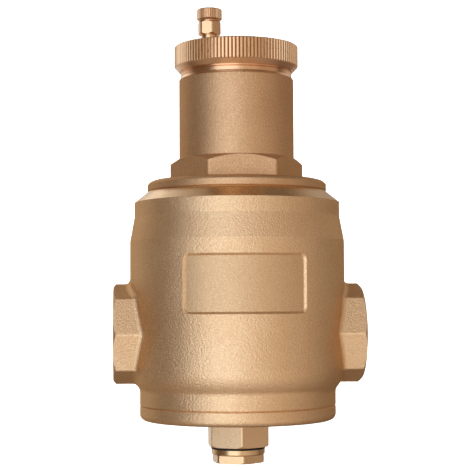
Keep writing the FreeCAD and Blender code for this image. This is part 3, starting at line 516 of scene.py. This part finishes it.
def woven_sleeve(node, pitch, wire_r, name):
    """Woven wire sleeve in place of a plain mesh tube."""
    low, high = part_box(node)
    radius = high.x - 0.3 * MM
    weave = wire_r * 0.95
    uprights = 2 * round(math.pi * radius / pitch)
    hoops = round((high.z - low.z) / pitch)
    step = (high.z - low.z) / hoops
    bm = bmesh.new()
    for i in range(uprights):
        angle = math.tau * i / uprights
        outward = Vector((math.cos(angle), math.sin(angle), 0))
        points = []
        for j in range(2 * hoops + 1):
            z = low.z + j * step / 2
            side = math.cos(math.pi * (j / 2 - 0.5 + i))
            points.append((outward * (radius + weave * side) + Vector((0, 0, z)), outward))
        wire_ring(bm, points, wire_r, False)
    for j in range(hoops):
        z = low.z + (j + 0.5) * step
        points = []
        for i in range(2 * uprights):
            angle = math.tau * i / (2 * uprights)
            outward = Vector((math.cos(angle), math.sin(angle), 0))
            side = -math.cos(math.pi * (i / 2 + j))
            points.append((outward * (radius + weave * side) + Vector((0, 0, z)), Vector((0, 0, 1))))
        wire_ring(bm, points, wire_r, True)
    piece = new_piece(name, bm, "wire", "housing")
    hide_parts(node)
    return piece


port_thread(-1, "inlet_thread")
port_thread(1, "outlet_thread")
woven_sleeve("mesh_outer", 2.2 * MM, 0.26 * MM, "woven_mesh_outer")
woven_sleeve("mesh_middle", 2.8 * MM, 0.28 * MM, "woven_mesh_middle")
woven_sleeve("mesh_inner", 3.0 * MM, 0.28 * MM, "woven_mesh_inner")


# ---- studio ---------------------------------------------------------------------------------------
FLOOR_Z = -0.05
SWEEP_Y = 1.9
SWEEP_R = 0.6
STAGE_TOP = 3.2
STAGE_SEGMENTS = 96
VIEW_AZIMUTH = -4.6           # degrees; the camera looks along +Y at 0
LIGHT_DISTANCE = 1.6
MIDDLE = Vector((0.0, 0.0, 0.1))


def studio_sweep():
    """Pale round floor that curves up into a backdrop."""
    bm = bmesh.new()
    profile = [(SWEEP_Y * i / 4, FLOOR_Z) for i in range(1, 5)]
    for i in range(1, 13):
        angle = math.pi / 2 * i / 12
        profile.append((SWEEP_Y + SWEEP_R * math.sin(angle), FLOOR_Z + SWEEP_R * (1 - math.cos(angle))))
    profile.append((SWEEP_Y + SWEEP_R, STAGE_TOP))
    columns = []
    for i in range(STAGE_SEGMENTS):
        angle = math.tau * i / STAGE_SEGMENTS
        columns.append([bm.verts.new((r * math.cos(angle), r * math.sin(angle), z)) for r, z in profile])
    centre = bm.verts.new((0, 0, FLOOR_Z))
    for i in range(STAGE_SEGMENTS):
        here, ahead = columns[i], columns[(i + 1) % STAGE_SEGMENTS]
        bm.faces.new((centre, here[0], ahead[0]))
        for j in range(len(profile) - 1):
            bm.faces.new((here[j], here[j + 1], ahead[j + 1], ahead[j]))
    mesh = bpy.data.meshes.new("floor")
    bm.to_mesh(mesh)
    bm.free()
    for polygon in mesh.polygons:
        polygon.use_smooth = True
    s = Shader("floor_paper")
    paper = s.noise(60, 3, 0.5)
    base = s.mix(s.remap(paper, 0.3, 0.7), (0.86, 0.86, 0.86, 1), (0.9, 0.9, 0.9, 1))
    mesh.materials.append(s.finish(base, 0.9, Emission_Color=(1, 1, 1, 1), Emission_Strength=0.55))
    floor = bpy.data.objects.new("floor", mesh)
    floor.visible_glossy = False
    bpy.context.scene.collection.objects.link(floor)


def softbox(name, azimuth, elevation, width, height, radiance, color, distance=LIGHT_DISTANCE):
    """Soft rectangular light aimed at the object; azimuth is counted from the camera's side."""
    turn = math.radians(azimuth + VIEW_AZIMUTH)
    rise = math.radians(elevation)
    away = Vector((math.sin(turn) * math.cos(rise), -math.cos(turn) * math.cos(rise), math.sin(rise)))
    data = bpy.data.lights.new(name, "AREA")
    data.shape = "RECTANGLE"
    data.size = width
    data.size_y = height
    data.energy = radiance * math.pi * width * height
    data.color = color
    light = bpy.data.objects.new(name, data)
    light.location = MIDDLE + away * distance
    light.rotation_euler = away.to_track_quat("Z", "Y").to_euler()
    bpy.context.scene.collection.objects.link(light)


def camera():
    """Long lens a little above the pipe axis, tilted up, seen from slightly left of the front."""
    azimuth = math.radians(VIEW_AZIMUTH)
    distance = 0.600
    aside = 0.0009
    height = PORT_Z + 0.014
    tilt = math.radians(2.855)
    roll = math.radians(-0.3)
    data = bpy.data.cameras.new("camera")
    data.sensor_width = 36.0
    data.lens = 102.6
    data.clip_start = 0.01
    view = bpy.data.objects.new("camera", data)
    turn = Matrix.Rotation(azimuth, 4, "Z")
    place = turn @ Vector((-aside, -distance, height))
    aim = turn @ Matrix.Rotation(math.pi / 2 + tilt, 4, "X") @ Matrix.Rotation(roll, 4, "Z")
    view.matrix_world = Matrix.Translation(place) @ aim
    bpy.context.scene.collection.objects.link(view)
    bpy.context.scene.camera = view


WARM = (1.0, 0.73, 0.51, 1)
WHITE = (1.0, 0.98, 0.95, 1)
# direction seen from the camera's side, where brightening starts and ends, and its brightness
SURROUNDINGS = [
    ((1.0, 0.0, 0.0), -1.0, 1.0, 0.14, 0.12),
    ((-0.55, 0.83, 0.08), 0.66, 0.97, 0.0, 0.6),
    ((-0.34, 0.58, 0.75), 0.93, 1.0, 0.0, 0.42),
    ((0.17, 0.98, 0.0), 0.88, 1.0, 0.0, 0.2),
    ((0.64, 0.64, 0.42), 0.86, 1.0, 0.0, 0.45),
    ((0.55, 0.83, 0.0), 0.6, 0.97, 0.0, 0.12),
    ((0.0, -0.5, -0.87), 0.3, 1.0, 0.0, 0.38),
    ((0.0, -0.2, 0.98), 0.3, 1.0, 0.0, 0.08),
]


def world():
    """Dim warm surroundings with a white backdrop, brighter to the left behind the object."""
    scene_world = bpy.data.worlds.new("studio")
    scene_world.use_nodes = True
    tree = scene_world.node_tree
    coord = tree.nodes.new("ShaderNodeTexCoord")
    turn = Matrix.Rotation(math.radians(VIEW_AZIMUTH), 3, "Z")
    total = None
    for direction, start, end, low, high in SURROUNDINGS:
        along = tree.nodes.new("ShaderNodeVectorMath")
        along.operation = "DOT_PRODUCT"
        along.inputs[1].default_value = turn @ Vector(direction)
        tree.links.new(coord.outputs["Generated"], along.inputs[0])
        ramp = tree.nodes.new("ShaderNodeMapRange")
        for key, value in (("From Min", start), ("From Max", end), ("To Min", low), ("To Max", high)):
            ramp.inputs[key].default_value = value
        tree.links.new(along.outputs["Value"], ramp.inputs["Value"])
        if total is None:
            total = ramp.outputs["Result"]
        else:
            add = tree.nodes.new("ShaderNodeMath")
            add.operation = "ADD"
            tree.links.new(total, add.inputs[0])
            tree.links.new(ramp.outputs["Result"], add.inputs[1])
            total = add.outputs[0]
    whiten = tree.nodes.new("ShaderNodeMapRange")
    whiten.inputs["From Min"].default_value = 0.15
    whiten.inputs["From Max"].default_value = 0.7
    tree.links.new(total, whiten.inputs["Value"])
    tint = tree.nodes.new("ShaderNodeMix")
    tint.data_type = "RGBA"
    tint.inputs["A"].default_value = WARM
    tint.inputs["B"].default_value = WHITE
    tree.links.new(whiten.outputs["Result"], tint.inputs["Factor"])
    shade = tree.nodes["Background"]
    tree.links.new(tint.outputs["Result"], shade.inputs["Color"])
    tree.links.new(total, shade.inputs["Strength"])
    bpy.context.scene.world = scene_world


studio_sweep()
world()
camera()
softbox("key_softbox", -20, 0, 1.5, 3.4, 1.34, (0.92, 1.02, 1.13))
softbox("near_fill_softbox", 27, 0, 1.15, 3.2, 0.5, (1.0, 0.88, 0.74))
softbox("side_fill_softbox", 70, 0, 1.4, 3.0, 0.35, (1.0, 0.84, 0.7))
softbox("rear_softbox", -142, 28, 0.9, 0.6, 0.5, (1.0, 0.98, 0.95))
bpy.context.scene.view_settings.view_transform = "Standard"
